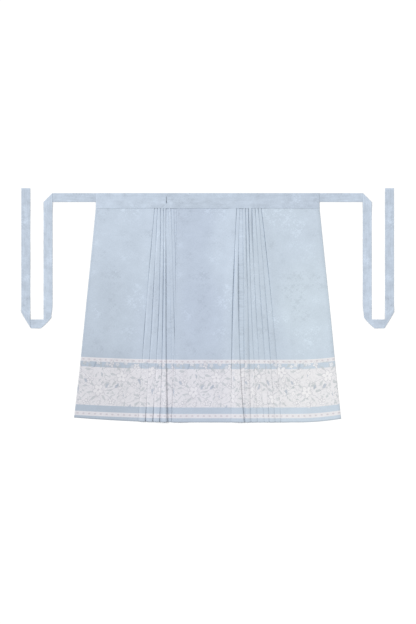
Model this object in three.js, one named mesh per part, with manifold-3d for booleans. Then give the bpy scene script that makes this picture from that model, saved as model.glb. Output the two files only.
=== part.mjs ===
// A pleated wrap skirt of pale blue satin, laid open and flat with its front up.
// Two overlapping lengths of cloth hang from one folded waistband: flat panels with a group of narrow
// knife pleats between them. A long tie runs out of each end of the waistband and is folded on itself.
// Millimetres, +Z up. The waist is towards +Y, the hem towards -Y, and the cloth rests on z = 0.

import * as THREE from "three";
import { mergeVertices } from "three/addons/utils/BufferGeometryUtils.js";
import Module from "manifold-3d";

const wasm = await Module();
wasm.setup();

// Cloth
const WALL = 1.0; // the cloth of the skirt and the waistband
const AIR = 0.35; // left between one layer and the next
const LAYER = WALL + AIR;

// Heights of the middle of the wall on the layers of a pleat, and on what lies over a pleat
const LOW = WALL / 2;
const MIDDLE = LOW + LAYER;
const HIGH = MIDDLE + LAYER;
const OVER = HIGH + LAYER;

// Skirt
const SEAM_Y = 422.8; // lower edge of the waistband
const SEAM_ALLOWANCE = 12; // cloth that runs on inside the waistband
const SETTLE = 12; // below the seam the cloth has come down to the surface
const HEM_Y = -510.9; // lowest stretch of the hem, which rises towards both sides
const HEM_RISE = { left: 24, leftFrom: -77, leftTo: -581, right: 17, rightFrom: 385, rightTo: 580 };
const ROWS = [0.1, 0.22, 0.34, 0.46, 0.58, 0.7, 0.82, 0.91, 1]; // down the skirt, 1 at the hem

// Edges of the halves. Each is an x at the waist and at the hem, and how far it bows in between
const LEFT_EDGE = { waist: -487.3, hem: -581, bow: 1.5 };
const CENTRE_EDGE = { waist: -134.4, hem: -155.3, bow: 2.6 };
const UNDER_EDGE = { waist: 88, hem: 80, bow: 0 };
const RIGHT_EDGE = { waist: 487.3, hem: 579.7, bow: -1 };

// Knife pleats: the folded edge of each, and the side that it faces
const RIGHTWARD = 1;
const LEFTWARD = -1;
const LEFT_PLEATS = [
  { waist: -231.6, hem: -303.5, bow: -3.5, faces: RIGHTWARD },
  { waist: -219.4, hem: -272.1, bow: 3, faces: RIGHTWARD },
  { waist: -205.9, hem: -241.2, bow: 9, faces: RIGHTWARD },
  { waist: -193.2, hem: -209.4, bow: 5, faces: RIGHTWARD },
  { waist: -182.3, hem: -178.0, bow: 1.5, faces: RIGHTWARD },
  { waist: -171.0, hem: -150.0, bow: 0, faces: LEFTWARD },
  { waist: -158.8, hem: -132.0, bow: 0, faces: LEFTWARD },
  { waist: -146.6, hem: -114.0, bow: 0, faces: LEFTWARD },
];
const RIGHT_PLEATS = [
  { waist: 126.1, hem: 102.2, bow: -7, faces: RIGHTWARD },
  { waist: 139.6, hem: 129.6, bow: 0, faces: RIGHTWARD },
  { waist: 153.2, hem: 161.0, bow: 0, faces: LEFTWARD },
  { waist: 165.8, hem: 190.2, bow: 0, faces: LEFTWARD },
  { waist: 179.3, hem: 218.5, bow: 0, faces: LEFTWARD },
  { waist: 194.1, hem: 247.7, bow: 0, faces: LEFTWARD },
  { waist: 208.0, hem: 269.9, bow: -2, faces: LEFTWARD },
  { waist: 221.6, hem: 294.7, bow: 2, faces: LEFTWARD },
  { waist: 234.6, hem: 320.9, bow: 7, faces: LEFTWARD },
];
const DEPTH_SHARE = 0.62; // how far a pleat folds under, as a share of the distance to the next edge
const FOLD_RADIUS = LAYER / 2;
const FOLD_STEPS = 3;
const SLOPE_CLEARANCE = 0.6; // between a fold and the slope beside it
const PANEL_SLOPE = 12; // run over which a panel rises onto its pleat
const PANEL_PARTS = { outer: 5, centre: 3, under: 2 }; // along the curve of the hem
const CENTRE_SHIFT = 2; // the centre panel comes down this much later than the pleats beneath it

// Waistband
const BAND = { left: -487.3, right: 487.3, top: 489.5, upperFront: 3.2 };
const BAND_SHOULDER = 16; // above the seam the front begins to come down over the tops of the pleats
const BAND_EVEN = 40; // above the seam it has come down
const BAND_SWELL = [
  { x: -487.3, front: 3.2 },
  { x: -375, front: 3.2 },
  { x: -262, front: 3.2 },
  { x: -244, front: 5.9 },
  { x: -200, front: 5.9 },
  { x: -146, front: 5.9 },
  { x: -137, front: 7.1 },
  { x: -126, front: 7.1 },
  { x: -104, front: 4.6 },
  { x: 0, front: 4.6 },
  { x: 98, front: 4.6 },
  { x: 114, front: 5.9 },
  { x: 180, front: 5.9 },
  { x: 246, front: 5.9 },
  { x: 266, front: 3.2 },
  { x: 380, front: 3.2 },
  { x: 487.3, front: 3.2 },
];
const SLIT = { x: -179.3, width: 2.4, low: 444.6, high: 473.4 };

// Ties: a ribbon of doubled cloth. Each fold is a crease at 45 degrees across it
const TIE_WIDTH = 38.5;
const TIE_MIDDLE_Y = 469.9; // its upper edge is level with the waistband's
const TIE_WALL = 1.2;
const TIE_AIR = 0.4;
const TIE_COLUMNS = 4;
const TIE_SEAM_GAP = 0.3;
const CREASE_RADIUS = (TIE_WALL + TIE_AIR) / 2;
const CREASE_STEPS = 4;
const TIE_FOLDS = [
  { run: 208, lean: 1, over: 1 },
  { run: 550.5, lean: 1, over: -1 },
  { run: 97, lean: -1, over: 1 },
];
const TIE_END_RUN = 591.5;
const TIE_DROP = { from: 26, to: 71 }; // past a fold, the tie comes down to the surface again
const TIE_NEAR_FOLD = [
  { away: 5, lean: 1 },
  { away: 15, lean: 0.85 },
  { away: 27, lean: 0.5 },
  { away: 42, lean: 0.1 },
];
const TIE_PLAIN_STEP = 75;
// The two lower corners of a tie are drawn in: how far the ends of the crease move
const TIE_CORNERS = [
  { fold: 1, inner: 14, outer: 9, reach: 20 },
  { fold: 2, inner: -5, outer: 36, reach: 40 },
];
const TIE_SIDES = [
  { name: "tie_left", side: -1, start: BAND.left },
  { name: "tie_right", side: 1, start: BAND.right },
];

const satin = (colour) => new THREE.MeshStandardMaterial({ color: colour, roughness: 0.5, metalness: 0 });
const lerp = THREE.MathUtils.lerp;
const clamp = THREE.MathUtils.clamp;
const smooth = (t) => THREE.MathUtils.smoothstep(t, 0, 1);

// A closed wall between two sheets of the same grid, given as rows of points
function wallBetween(front, back) {
  const rows = front.length;
  const columns = front[0].length;
  const points = [...front.flat(), ...back.flat()];
  const at = (sheet, row, column) => (sheet * rows + row) * columns + column;
  const index = [];
  const quad = (a, b, c, d) => index.push(a, b, c, a, c, d);
  for (let row = 0; row < rows - 1; row += 1) {
    for (let column = 0; column < columns - 1; column += 1) {
      quad(at(0, row, column), at(0, row, column + 1), at(0, row + 1, column + 1), at(0, row + 1, column));
      quad(at(1, row, column), at(1, row + 1, column), at(1, row + 1, column + 1), at(1, row, column + 1));
    }
    quad(at(0, row, 0), at(0, row + 1, 0), at(1, row + 1, 0), at(1, row, 0));
    const last = columns - 1;
    quad(at(0, row, last), at(1, row, last), at(1, row + 1, last), at(0, row + 1, last));
  }
  for (let column = 0; column < columns - 1; column += 1) {
    quad(at(0, 0, column), at(1, 0, column), at(1, 0, column + 1), at(0, 0, column + 1));
    const last = rows - 1;
    quad(at(0, last, column), at(0, last, column + 1), at(1, last, column + 1), at(1, last, column));
  }
  const geometry = new THREE.BufferGeometry().setFromPoints(points);
  geometry.setIndex(index);
  return facingOut(geometry);
}

// The same geometry, turned over if its faces point inwards
function facingOut(geometry) {
  const place = geometry.attributes.position;
  const index = geometry.index.array;
  const [a, b, c] = [new THREE.Vector3(), new THREE.Vector3(), new THREE.Vector3()];
  let volume = 0;
  for (let i = 0; i < index.length; i += 3) {
    a.fromBufferAttribute(place, index[i]);
    b.fromBufferAttribute(place, index[i + 1]);
    c.fromBufferAttribute(place, index[i + 2]);
    volume += a.dot(b.cross(c));
  }
  if (volume < 0) {
    for (let i = 0; i < index.length; i += 3) {
      [index[i + 1], index[i + 2]] = [index[i + 2], index[i + 1]];
    }
  }
  geometry.computeVertexNormals();
  return geometry;
}

// The points of a flat path moved sideways by a distance, with mitred corners
function movedOut(path, distance) {
  const legs = path.slice(1).map((point, i) => new THREE.Vector2().subVectors(point, path[i]).normalize());
  return path.map((point, i) => {
    const before = legs[Math.max(i - 1, 0)];
    const after = legs[Math.min(i, legs.length - 1)];
    const along = new THREE.Vector2().addVectors(before, after).normalize();
    const reach = distance / along.dot(before);
    return new THREE.Vector2(point.x - along.y * reach, point.y + along.x * reach);
  });
}

// Skirt halves

// Where an edge lies at a share of the way down the skirt
function edgeAt(edge, down) {
  return lerp(edge.waist, edge.hem, down) + edge.bow * 4 * down * (1 - down);
}

function hemAt(x) {
  const left = clamp((HEM_RISE.leftFrom - x) / (HEM_RISE.leftFrom - HEM_RISE.leftTo), 0, 1);
  const right = clamp((x - HEM_RISE.rightFrom) / (HEM_RISE.rightTo - HEM_RISE.rightFrom), 0, 1);
  return HEM_Y + HEM_RISE.left * left ** 2 + HEM_RISE.right * right ** 2;
}

// How far a pleat folds under: a share of the distance to the next edge that faces the same way
function pleatDepth(pleats, i, down) {
  const behind = pleats[i - pleats[i].faces];
  const ahead = pleats[i + pleats[i].faces];
  const next = behind && behind.faces === pleats[i].faces ? behind : ahead;
  return DEPTH_SHARE * Math.abs(edgeAt(pleats[i], down) - edgeAt(next, down));
}

// A half turn of cloth about a point, from one layer to the next, bulging to one side
function halfTurn(x, from, to, side) {
  const middle = (from + to) / 2;
  return Array.from({ length: FOLD_STEPS + 1 }, (_, step) => {
    const angle = (Math.PI * step) / FOLD_STEPS;
    return new THREE.Vector2(
      x + side * FOLD_RADIUS * Math.sin(angle),
      middle + Math.sign(from - middle) * FOLD_RADIUS * Math.cos(angle),
    );
  });
}

// The path of the cloth, left to right, through one pleat: on top to its edge, back beneath, and on
function pleatPath(pleats, i, down) {
  const edge = edgeAt(pleats[i], down);
  const depth = pleatDepth(pleats, i, down);
  const inset = FOLD_RADIUS + WALL / 2;
  if (pleats[i].faces === RIGHTWARD) {
    return [
      new THREE.Vector2(edge - depth - SLOPE_CLEARANCE, HIGH),
      ...halfTurn(edge - inset, HIGH, MIDDLE, 1),
      ...halfTurn(edge - depth + inset, MIDDLE, LOW, -1),
      new THREE.Vector2(edge + SLOPE_CLEARANCE, LOW),
    ];
  }
  return [
    new THREE.Vector2(edge - SLOPE_CLEARANCE, LOW),
    ...halfTurn(edge + depth - inset, LOW, MIDDLE, 1),
    ...halfTurn(edge + inset, MIDDLE, HIGH, -1),
    new THREE.Vector2(edge + depth + SLOPE_CLEARANCE, HIGH),
  ];
}

// A level stretch of a panel, divided evenly
function panelPath(from, to, height, parts) {
  return Array.from({ length: parts + 1 }, (_, i) => new THREE.Vector2(lerp(from, to, i / parts), height));
}

// Where the last pleat under the centre panel stops being high, going right
function underPleatsEnd(down) {
  const last = LEFT_PLEATS.length - 1;
  return edgeAt(LEFT_PLEATS[last], down) + pleatDepth(LEFT_PLEATS, last, down) + SLOPE_CLEARANCE;
}

function leftHalfPath(down) {
  const firstDepth = pleatDepth(LEFT_PLEATS, 0, down);
  const panelEnd = edgeAt(LEFT_PLEATS[0], down) - firstDepth - PANEL_SLOPE;
  const underStart = underPleatsEnd(down) + PANEL_SLOPE;
  return [
    ...panelPath(edgeAt(LEFT_EDGE, down), panelEnd, LOW, PANEL_PARTS.outer),
    ...LEFT_PLEATS.flatMap((_, i) => pleatPath(LEFT_PLEATS, i, down)),
    ...panelPath(underStart, edgeAt(UNDER_EDGE, down), LOW, PANEL_PARTS.under),
  ];
}

// The centre panel lies over the left half's last pleats, then over its under panel
function rightHalfPath(down) {
  const freeEdge = edgeAt(CENTRE_EDGE, down);
  const slopeStart = underPleatsEnd(down) + CENTRE_SHIFT;
  const slopeEnd = slopeStart + PANEL_SLOPE;
  const height = (x) => lerp(OVER, MIDDLE, clamp((x - slopeStart) / PANEL_SLOPE, 0, 1));
  const over = [freeEdge, Math.max(freeEdge + 1, slopeStart)].map((x) => new THREE.Vector2(x, height(x)));
  const panelEnd = edgeAt(RIGHT_PLEATS[0], down) - pleatDepth(RIGHT_PLEATS, 0, down) - PANEL_SLOPE;
  const last = RIGHT_PLEATS.length - 1;
  const outerStart = edgeAt(RIGHT_PLEATS[last], down) + pleatDepth(RIGHT_PLEATS, last, down) + PANEL_SLOPE;
  return [
    ...over,
    ...panelPath(slopeEnd, panelEnd, MIDDLE, PANEL_PARTS.centre),
    ...RIGHT_PLEATS.flatMap((_, i) => pleatPath(RIGHT_PLEATS, i, down)),
    ...panelPath(outerStart, edgeAt(RIGHT_EDGE, down), LOW, PANEL_PARTS.outer),
  ];
}

// One half of the skirt, from its top inside the waistband down to the hem
function skirtHalf(name, pathAt, colour) {
  const length = SEAM_Y - HEM_Y;
  const settled = SETTLE / length;
  const rows = [
    { down: 0, above: SEAM_ALLOWANCE, lift: LAYER },
    { down: 0, above: 0, lift: LAYER },
    { down: settled, above: 0, lift: 0 },
    ...ROWS.map((down) => ({ down, above: 0, lift: 0 })),
  ];
  const front = [];
  const back = [];
  for (const row of rows) {
    const path = pathAt(row.down);
    const place = (flat, i) => {
      const y = lerp(SEAM_Y, hemAt(path[i].x), row.down) + row.above;
      return new THREE.Vector3(flat.x, y, flat.y + row.lift);
    };
    front.push(movedOut(path, WALL / 2).map(place));
    back.push(movedOut(path, -WALL / 2).map(place));
  }
  const mesh = new THREE.Mesh(wallBetween(front, back), satin(colour));
  mesh.name = name;
  return mesh;
}

// Waistband

// The section of the band from its back lower edge, over the top fold, to its front lower edge
function bandSection(front) {
  const radius = (BAND.upperFront - LOW) / 2;
  const foldY = BAND.top - radius - WALL / 2;
  const fold = Array.from({ length: CREASE_STEPS + 1 }, (_, step) => {
    const angle = (Math.PI * step) / CREASE_STEPS;
    return new THREE.Vector2(foldY + radius * Math.sin(angle), LOW + radius * (1 - Math.cos(angle)));
  });
  return [
    new THREE.Vector2(SEAM_Y, LOW),
    ...fold,
    new THREE.Vector2(SEAM_Y + BAND_EVEN, BAND.upperFront),
    new THREE.Vector2(SEAM_Y + BAND_SHOULDER, front),
    new THREE.Vector2(SEAM_Y, front),
  ];
}

// A closed geometry as a manifold solid, and back
function solidOf(geometry) {
  const bare = geometry.clone();
  bare.deleteAttribute("normal");
  const merged = mergeVertices(bare);
  return new wasm.Manifold(
    new wasm.Mesh({
      numProp: 3,
      vertProperties: new Float32Array(merged.attributes.position.array),
      triVerts: new Uint32Array(merged.index.array),
    }),
  );
}

function geometryOf(solid) {
  const mesh = solid.getMesh();
  const geometry = new THREE.BufferGeometry();
  geometry.setAttribute("position", new THREE.BufferAttribute(mesh.vertProperties, 3));
  geometry.setIndex(new THREE.BufferAttribute(mesh.triVerts, 1));
  geometry.computeVertexNormals();
  return geometry;
}

function waistband() {
  const sheet = (side) =>
    BAND_SWELL.map(({ x, front }) =>
      movedOut(bandSection(front), side * (WALL / 2)).map((flat) => new THREE.Vector3(x, flat.x, flat.y)),
    );
  const folded = wallBetween(sheet(-1), sheet(1));
  const cutHeight = 20;
  const cutter = new THREE.BoxGeometry(SLIT.width, SLIT.high - SLIT.low, cutHeight);
  cutter.translate(SLIT.x, (SLIT.low + SLIT.high) / 2, 0);
  cutter.deleteAttribute("uv");
  const mesh = new THREE.Mesh(geometryOf(solidOf(folded).subtract(solidOf(cutter))), satin(0xb9cadb));
  mesh.name = "waistband";
  return mesh;
}

// Ties

// The folds with their places along the whole tie
const tieFolds = TIE_FOLDS.map((fold, i) => ({
  ...fold,
  at: TIE_FOLDS.slice(0, i + 1).reduce((sum, { run }) => sum + run, 0),
}));
const tieLength = tieFolds.at(-1).at + TIE_END_RUN;

// Where a point of the straight tie goes when the tie is folded: the last fold is made first. Beyond a
// crease the cloth is turned over, and within the crease it goes round a half circle
function foldedTie(along, across, height) {
  const point = new THREE.Vector3(along, across, height);
  const turn = Math.PI * CREASE_RADIUS;
  for (const fold of tieFolds.toReversed()) {
    const normal = new THREE.Vector3(1, -fold.lean, 0).normalize();
    const past = (x, y) => (x - fold.at) * normal.x + y * normal.y + turn / 2;
    const own = past(along, across);
    if (own > 0) {
      const now = past(point.x, point.y);
      const level = point.z * fold.over;
      const radius = CREASE_RADIUS - level;
      const inTurn = own < turn;
      const moved = inTurn ? radius * Math.sin(now / CREASE_RADIUS) : turn - now;
      const raised = inTurn
        ? CREASE_RADIUS - radius * Math.cos(now / CREASE_RADIUS)
        : 2 * CREASE_RADIUS - level;
      point.addScaledVector(normal, moved - now);
      point.z = raised * fold.over;
    }
  }
  return point;
}

// How far the tie has come down to the surface again after the folds that it has passed
function tieDrop(along) {
  const { from, to } = TIE_DROP;
  const passed = tieFolds.map((fold) => smooth((along - fold.at - from) / (to - from)));
  return 2 * CREASE_RADIUS * passed.reduce((sum, share) => sum + share, 0);
}

// The lower corners are drawn in: the ends of a crease move, and the cloth near it follows
function drawnCorner(point) {
  const moved = point.clone();
  for (const corner of TIE_CORNERS) {
    const fold = tieFolds[corner.fold];
    const crease = foldedTie(fold.at, 0, 0);
    const inward = corner.fold === 1 ? 1 : -1;
    const outX = -inward;
    const direction = new THREE.Vector2(outX, -1).normalize();
    const offset = new THREE.Vector2(point.x - crease.x, point.y - crease.y);
    const share = clamp(offset.dot(direction) / (TIE_WIDTH * Math.SQRT2) + 0.5, 0, 1);
    const away = offset.x * direction.y - offset.y * direction.x;
    const pull = Math.exp(-((away / corner.reach) ** 2));
    moved.x += inward * corner.inner * (1 - share) * pull;
    moved.y -= corner.outer * share * pull;
  }
  return moved;
}

// The rows of a tie: how far along its middle each one is, and how far it leans
function tieRows() {
  const half = (Math.PI * CREASE_RADIUS * Math.SQRT2) / 2;
  const ends = [{ at: 0 }, ...tieFolds, { at: tieLength }];
  const rows = [{ along: 0, lean: 0 }];
  ends.slice(1).forEach((end, i) => {
    const start = ends[i];
    const furthest = TIE_NEAR_FOLD.at(-1).away;
    const from = start.lean ? start.at + furthest : start.at;
    const to = end.lean ? end.at - furthest : end.at;
    const parts = Math.max(1, Math.round((to - from) / TIE_PLAIN_STEP));
    for (let part = 1; part < parts; part += 1) {
      rows.push({ along: lerp(from, to, part / parts), lean: 0 });
    }
    if (!end.lean) {
      rows.push({ along: end.at, lean: 0 });
      return;
    }
    for (const near of TIE_NEAR_FOLD.toReversed()) {
      rows.push({ along: end.at - near.away, lean: near.lean * end.lean });
    }
    for (let step = 0; step <= CREASE_STEPS; step += 1) {
      rows.push({ along: end.at + half * ((2 * step) / CREASE_STEPS - 1), lean: end.lean });
    }
    for (const near of TIE_NEAR_FOLD) {
      rows.push({ along: end.at + near.away, lean: near.lean * end.lean });
    }
  });
  return rows;
}

function tie({ name, side, start }) {
  const sheet = (level) =>
    tieRows().map(({ along, lean }) =>
      Array.from({ length: TIE_COLUMNS + 1 }, (_, column) => {
        const across = TIE_WIDTH * (column / TIE_COLUMNS - 0.5);
        const own = along + lean * across;
        const point = drawnCorner(foldedTie(own, across, level));
        const x = start + side * (TIE_SEAM_GAP + point.x);
        return new THREE.Vector3(x, TIE_MIDDLE_Y - point.y, point.z + TIE_WALL / 2 - tieDrop(own));
      }),
    );
  const mesh = new THREE.Mesh(wallBetween(sheet(TIE_WALL / 2), sheet(-TIE_WALL / 2)), satin(0xbccddd));
  mesh.name = name;
  return mesh;
}

const skirt = new THREE.Group();
skirt.add(skirtHalf("left_half", leftHalfPath, 0xb8c9db));
skirt.add(skirtHalf("right_half", rightHalfPath, 0xc3d3e2));
skirt.add(waistband());
for (const side of TIE_SIDES) {
  skirt.add(tie(side));
}

export default skirt;
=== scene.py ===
# A pale blue pleated wrap skirt, laid open and flat with its front up, seen from straight above.
# Sizes are in millimetres and become metres where a mesh is made. The waist is towards +Y.

import functools
import math

import bpy
import numpy as np
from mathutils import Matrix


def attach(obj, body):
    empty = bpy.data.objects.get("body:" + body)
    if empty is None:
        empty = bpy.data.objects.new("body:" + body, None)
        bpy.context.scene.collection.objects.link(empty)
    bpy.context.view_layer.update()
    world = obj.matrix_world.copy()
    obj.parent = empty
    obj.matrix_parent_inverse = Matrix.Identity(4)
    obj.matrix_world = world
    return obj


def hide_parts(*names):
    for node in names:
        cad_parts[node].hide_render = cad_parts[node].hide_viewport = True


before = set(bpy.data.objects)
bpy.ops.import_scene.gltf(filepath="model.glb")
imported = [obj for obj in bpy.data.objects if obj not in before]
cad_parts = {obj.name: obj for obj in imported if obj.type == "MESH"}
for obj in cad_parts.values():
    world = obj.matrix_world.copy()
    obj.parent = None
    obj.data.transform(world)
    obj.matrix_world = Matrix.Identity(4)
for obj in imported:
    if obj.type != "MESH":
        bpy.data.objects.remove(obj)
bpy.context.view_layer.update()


# Left half of the skirt
# One length of satin damask with a white floral band woven in above its hem. Beside its flat panel it is
# folded into knife pleats, whose tops are sewn into the waistband. It lies loose on the surface.

SEAM_Y = 422.8  # where the cloth comes out from beneath the waistband
HEM_Y = -509.6
SKIRT_LENGTH = SEAM_Y - HEM_Y
SEAM_ALLOWANCE = 12.0
BAND_LIFT = 0.6  # the waistband lifts the cloth at its seam by this, and less over the next few millimetres
LIFT_REACH = 12.0

HALF_CLOTH = 0.18  # half the thickness of the satin
LOW = 0.25  # heights of the middle of the cloth: lowest layer, underlay, and top of a pleat pressed flat
MIDDLE = 0.65
FLAT_TOP = 1.05
RIGHTWARD_RISE = 3.4  # what an open pleat adds to that, by the side that its edge faces
LEFTWARD_RISE = 4.0
HEM_TURN = 12.0  # the hem is turned up once: how deep, and what the turn adds to the height
HEM_STEP = 0.3
SIDE_TURN = 7.0  # the free edges are turned under too: how deep, and the strip that is built with the turn
SIDE_STRIP = 9.0
DEPTH_SHARE = 0.62  # how far a pleat goes back beneath itself: share of the distance to the next, and limit
DEEPEST = 20.0
STEEP = 0.14  # share of a flat face over which it leaves the crevice
CREVICE = 0.4  # from a folded edge to where the next face comes out from beneath it
PANEL_RISE = 34.0  # width over which the outermost pleat runs out into its flat panel
FULLY_OPEN = 2.0  # a pleat that stands open by this much arches over its whole face
FACE_SPACING = 1.6  # power that draws the points of a face towards the crevice
# Points across a pleat's face, the roll at its edge, the turn at its back and a hidden layer
FACE_POINTS, ROLL_POINTS, TURN_POINTS, LAYER_POINTS = 14, 9, 6, 4

# Distances below the seam at which the cloth is worked out, closer together where it leaves the waistband
run = np.concatenate([[-SEAM_ALLOWANCE, -6, 0, 4, 8, 12, 18, 26], np.linspace(38, SKIRT_LENGTH - 22, 62)])
run = np.concatenate([run, SKIRT_LENGTH - np.array([16, HEM_TURN + 1.5, HEM_TURN, 6, 0])])
down = np.clip(run / SKIRT_LENGTH, 0, 1)
lift = BAND_LIFT * np.clip(1 - run / LIFT_REACH, 0, 1)

EDGE_WAVE = 0.7  # the slow wave of an edge: how far it goes to each side at the hem, and how many there are
EDGE_WAVES = 1.6
# Edges. Columns: x at the waist, x at the hem, bow between them, where its slow wave begins
LEFT_EDGE = (-487.3, -581.0, 1.5, 0.1)
UNDER_EDGE = (86.0, 78.0, 0.0, 0.4)
# Pleats have one column more: how far the pleat stands open at each of these shares of the way down
OPEN_AT = (0.0, 0.05, 0.12, 0.2, 0.29, 0.38, 0.47, 0.56, 0.66, 0.76, 0.87, 0.94, 1.0)
LEFT_PLEATS_RIGHTWARD = [
    (-231.6, -303.5, -3.5, 0.0, (0.6, 0.4, 0.4, 1.0, 0.5, 0.0, 0.1, 0.9, 0.4, 0.0, 0.0, 0.0, 0.1)),
    (-219.4, -272.1, 3.0, 0.35, (0.5, 0.4, 0.4, 0.0, 0.5, 0.7, 0.7, 0.8, 0.4, 0.1, 0.0, 1.0, 2.2)),
    (-205.9, -241.2, 9.0, 0.6, (0.8, 0.5, 1.0, 0.5, 0.5, 0.4, 0.7, 0.8, 0.4, 0.1, 0.0, 1.0, 2.2)),
    (-193.2, -209.4, 5.0, 0.15, (0.9, 0.2, 0.1, 0.6, 0.9, 1.0, 1.0, 0.9, 0.3, 0.5, 0.1, 0.9, 2.0)),
    (-182.3, -178.0, -2.0, 0.8, (0.8, 0.4, 0.4, 1.1, 1.7, 1.8, 1.6, 1.4, 1.5, 1.9, 2.4, 3.4, 3.8)),
]
LEFT_PLEATS_LEFTWARD = [
    (-171.0, -150.0, 0.0, 0.5, (0.6, 0.2, 0.1, 0.0, 0.0, 0.1, 0.3, 0.4, 0.2, 0.1, 0.1, 0.1, 0.1)),
    (-158.8, -132.0, 0.0, 0.2, (0.2, 0.1, 0.1, 0.1, 0.0, 0.1, 0.3, 0.4, 0.1, 0.0, 0.0, 0.0, 0.0)),
    (-146.6, -114.0, 0.0, 0.7, (0.1, 0.1, 0.1, 0.0, 0.0, 0.0, 0.1, 0.1, 0.0, 0.0, 0.0, 0.0, 0.0)),
]


def edge_line(waist, hem, bow, wave, *_):
    """x of an edge all the way down: a straight line, a parabola that bows it, and a slow, growing sine."""
    straight = waist + (hem - waist) * down
    swing = EDGE_WAVE * down * np.sin(2 * math.pi * (EDGE_WAVES * down + wave))
    return straight + bow * 4 * down * (1 - down) + swing


def stretch(start, end, share):
    """x at some shares of the way from start to end, all the way down."""
    return start[:, None] + (end - start)[:, None] * share


def level(start, end, height, count):
    """A stretch at one height, its points evenly spaced from start to end."""
    x = stretch(start, end, np.linspace(0, 1, count))
    return x, np.full(x.shape, height)


def arch(start, end, low, top, steep):
    """A quarter sine up from a low height to the top over a steep share of the way, and level after it. Its
    points are closer together at the start."""
    share = np.linspace(0, 1, FACE_POINTS) ** FACE_SPACING
    risen = np.sin(np.minimum(share / steep[:, None], 1) * math.pi / 2)
    return stretch(start, end, share), low + (top - low)[:, None] * risen


def smooth_step(share):
    """The square of a share times three less twice the share, which starts and ends level."""
    share = np.clip(share, 0, 1)
    return share * share * (3 - 2 * share)


def slope(start, end, low, top):
    """A long smooth step from a low height to the top."""
    share = np.linspace(0, 1, FACE_POINTS)
    return stretch(start, end, share), low + (top - low)[:, None] * smooth_step(share)


def half_turn(at, z_start, z_end, side, count):
    """A half circle of cloth from one height to another, bulging to one side (1 is right, -1 is left)."""
    angle = np.linspace(0, math.pi, count)
    middle = (np.asarray(z_start, float) + z_end) / 2
    reach = np.broadcast_to(z_start - middle, at.shape)[:, None]
    x = at[:, None] + side * np.abs(reach) * np.sin(angle)
    return x, np.broadcast_to(middle, at.shape)[:, None] + reach * np.cos(angle)


def pleat_depth(edge, other_edge):
    """The smaller of a share of the distance between two edges and the limit."""
    return np.minimum(DEPTH_SHARE * np.abs(other_edge - edge), DEEPEST)


def knife_pleat(edge, openness, depth, side, start, panel):
    """One pleat, left to right. Its face arches up to the folded edge, rolls over and goes back beneath,
    and its lowest layer comes out again. panel is the height of the flat panel that the face starts from
    in a long slope, where there is one. side is 1 where the edge faces right, and -1 where it faces left."""
    standing = np.interp(down, OPEN_AT, openness)
    top = FLAT_TOP + (RIGHTWARD_RISE if side == 1 else LEFTWARD_RISE) * standing
    steep = STEEP + (1 - STEEP) * np.clip(standing / FULLY_OPEN, 0, 1)
    outer = edge - side * ((top - MIDDLE) / 2 + HALF_CLOTH)
    inner = edge - side * (depth - (MIDDLE - LOW) / 2 - HALF_CLOTH)
    parts = [
        arch(start, outer, LOW, top, steep) if panel is None else slope(start, outer, panel, top),
        half_turn(outer, top, MIDDLE, side, ROLL_POINTS),
        level(outer, inner, MIDDLE, LAYER_POINTS),
        half_turn(inner, MIDDLE, LOW, -side, TURN_POINTS),
        level(inner, edge + side * CREVICE, LOW, LAYER_POINTS),
    ]
    return parts if side == 1 else [(x[:, ::-1], z[:, ::-1]) for x, z in reversed(parts)]


def knife_pleats(rows, side, panel):
    """A group of pleats, left to right. The face of the hindmost starts from the flat panel behind it, and
    each of the others comes out from beneath the edge behind it."""
    edges = [edge_line(*row) for row in rows[::side]]
    parts = []
    for i, (edge, row) in enumerate(zip(edges, rows[::side])):
        depth = pleat_depth(edge, edges[i - 1] if i else edges[1])
        start = edges[i - 1] + side * CREVICE if i else edge - side * (depth + PANEL_RISE)
        pleat = knife_pleat(edge, row[4], depth, side, start, None if i else panel)
        parts = parts + pleat if side == 1 else pleat + parts
    return parts


def hemmed_edge(edge, side):
    """The turned strip beside a free edge, left to right. side is 1 where the cloth lies right of it."""
    away = np.array([0, 3.0, 6.0, 7.4, SIDE_STRIP])[::side]
    raised = np.where(away < SIDE_TURN, HEM_STEP, 0.0)
    x = edge[:, None] + side * away
    return x, np.broadcast_to(LOW + raised, x.shape)


# The hem is level in the middle and rises towards its sides. Columns: x where that begins, x where it is
# complete, and the rise
LEFT_RISE = (-77, -581, 21.2)
RIGHT_RISE = (385, 580, 15.7)
DEEPER_LEFT = 6.5  # how much deeper the hem is turned up at its left end, so that the woven band is nearer


def sideward(x, begins, complete):
    """The square of the share of the way from where a rise begins to where it is complete."""
    return np.clip((x - begins) / (complete - begins), 0, 1) ** 2


def hem_line(x):
    """y of the hem: level in the middle, and rising towards both sides as the square of the distance."""
    return HEM_Y + sum(rise * sideward(x, *ends) for *ends, rise in (LEFT_RISE, RIGHT_RISE))


# Soft swells where the cloth doesn't lie quite flat
# Columns: x, y, half length, half width, height, lean in degrees
SWELLS = np.array([
    (-452, 210, 230, 34, 1.5, -5),
    (-372, 90, 300, 40, 1.8, -3),
    (-486, -120, 260, 38, 1.4, -6),
    (-404, -190, 230, 30, 1.3, -4),
    (-330, -60, 210, 26, 1.0, -9),
    (-96, 200, 190, 30, 1.2, 0),
    (-30, 20, 320, 44, 1.8, -1),
    (58, 120, 240, 30, 1.2, -3),
    (-84, -210, 200, 34, 1.5, 3),
    (34, -260, 220, 30, 1.3, -2),
    (300, 250, 160, 24, 1.1, 7),
    (352, 60, 260, 34, 1.5, 8),
    (430, 150, 230, 36, 1.4, 6),
    (362, -156, 70, 6, 1.8, 4),
    (470, -140, 260, 34, 1.6, 6),
    (404, -330, 150, 28, 1.2, 5),
])
SWELLS_FULL = 80.0  # distance below the seam at which they have their full height


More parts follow.
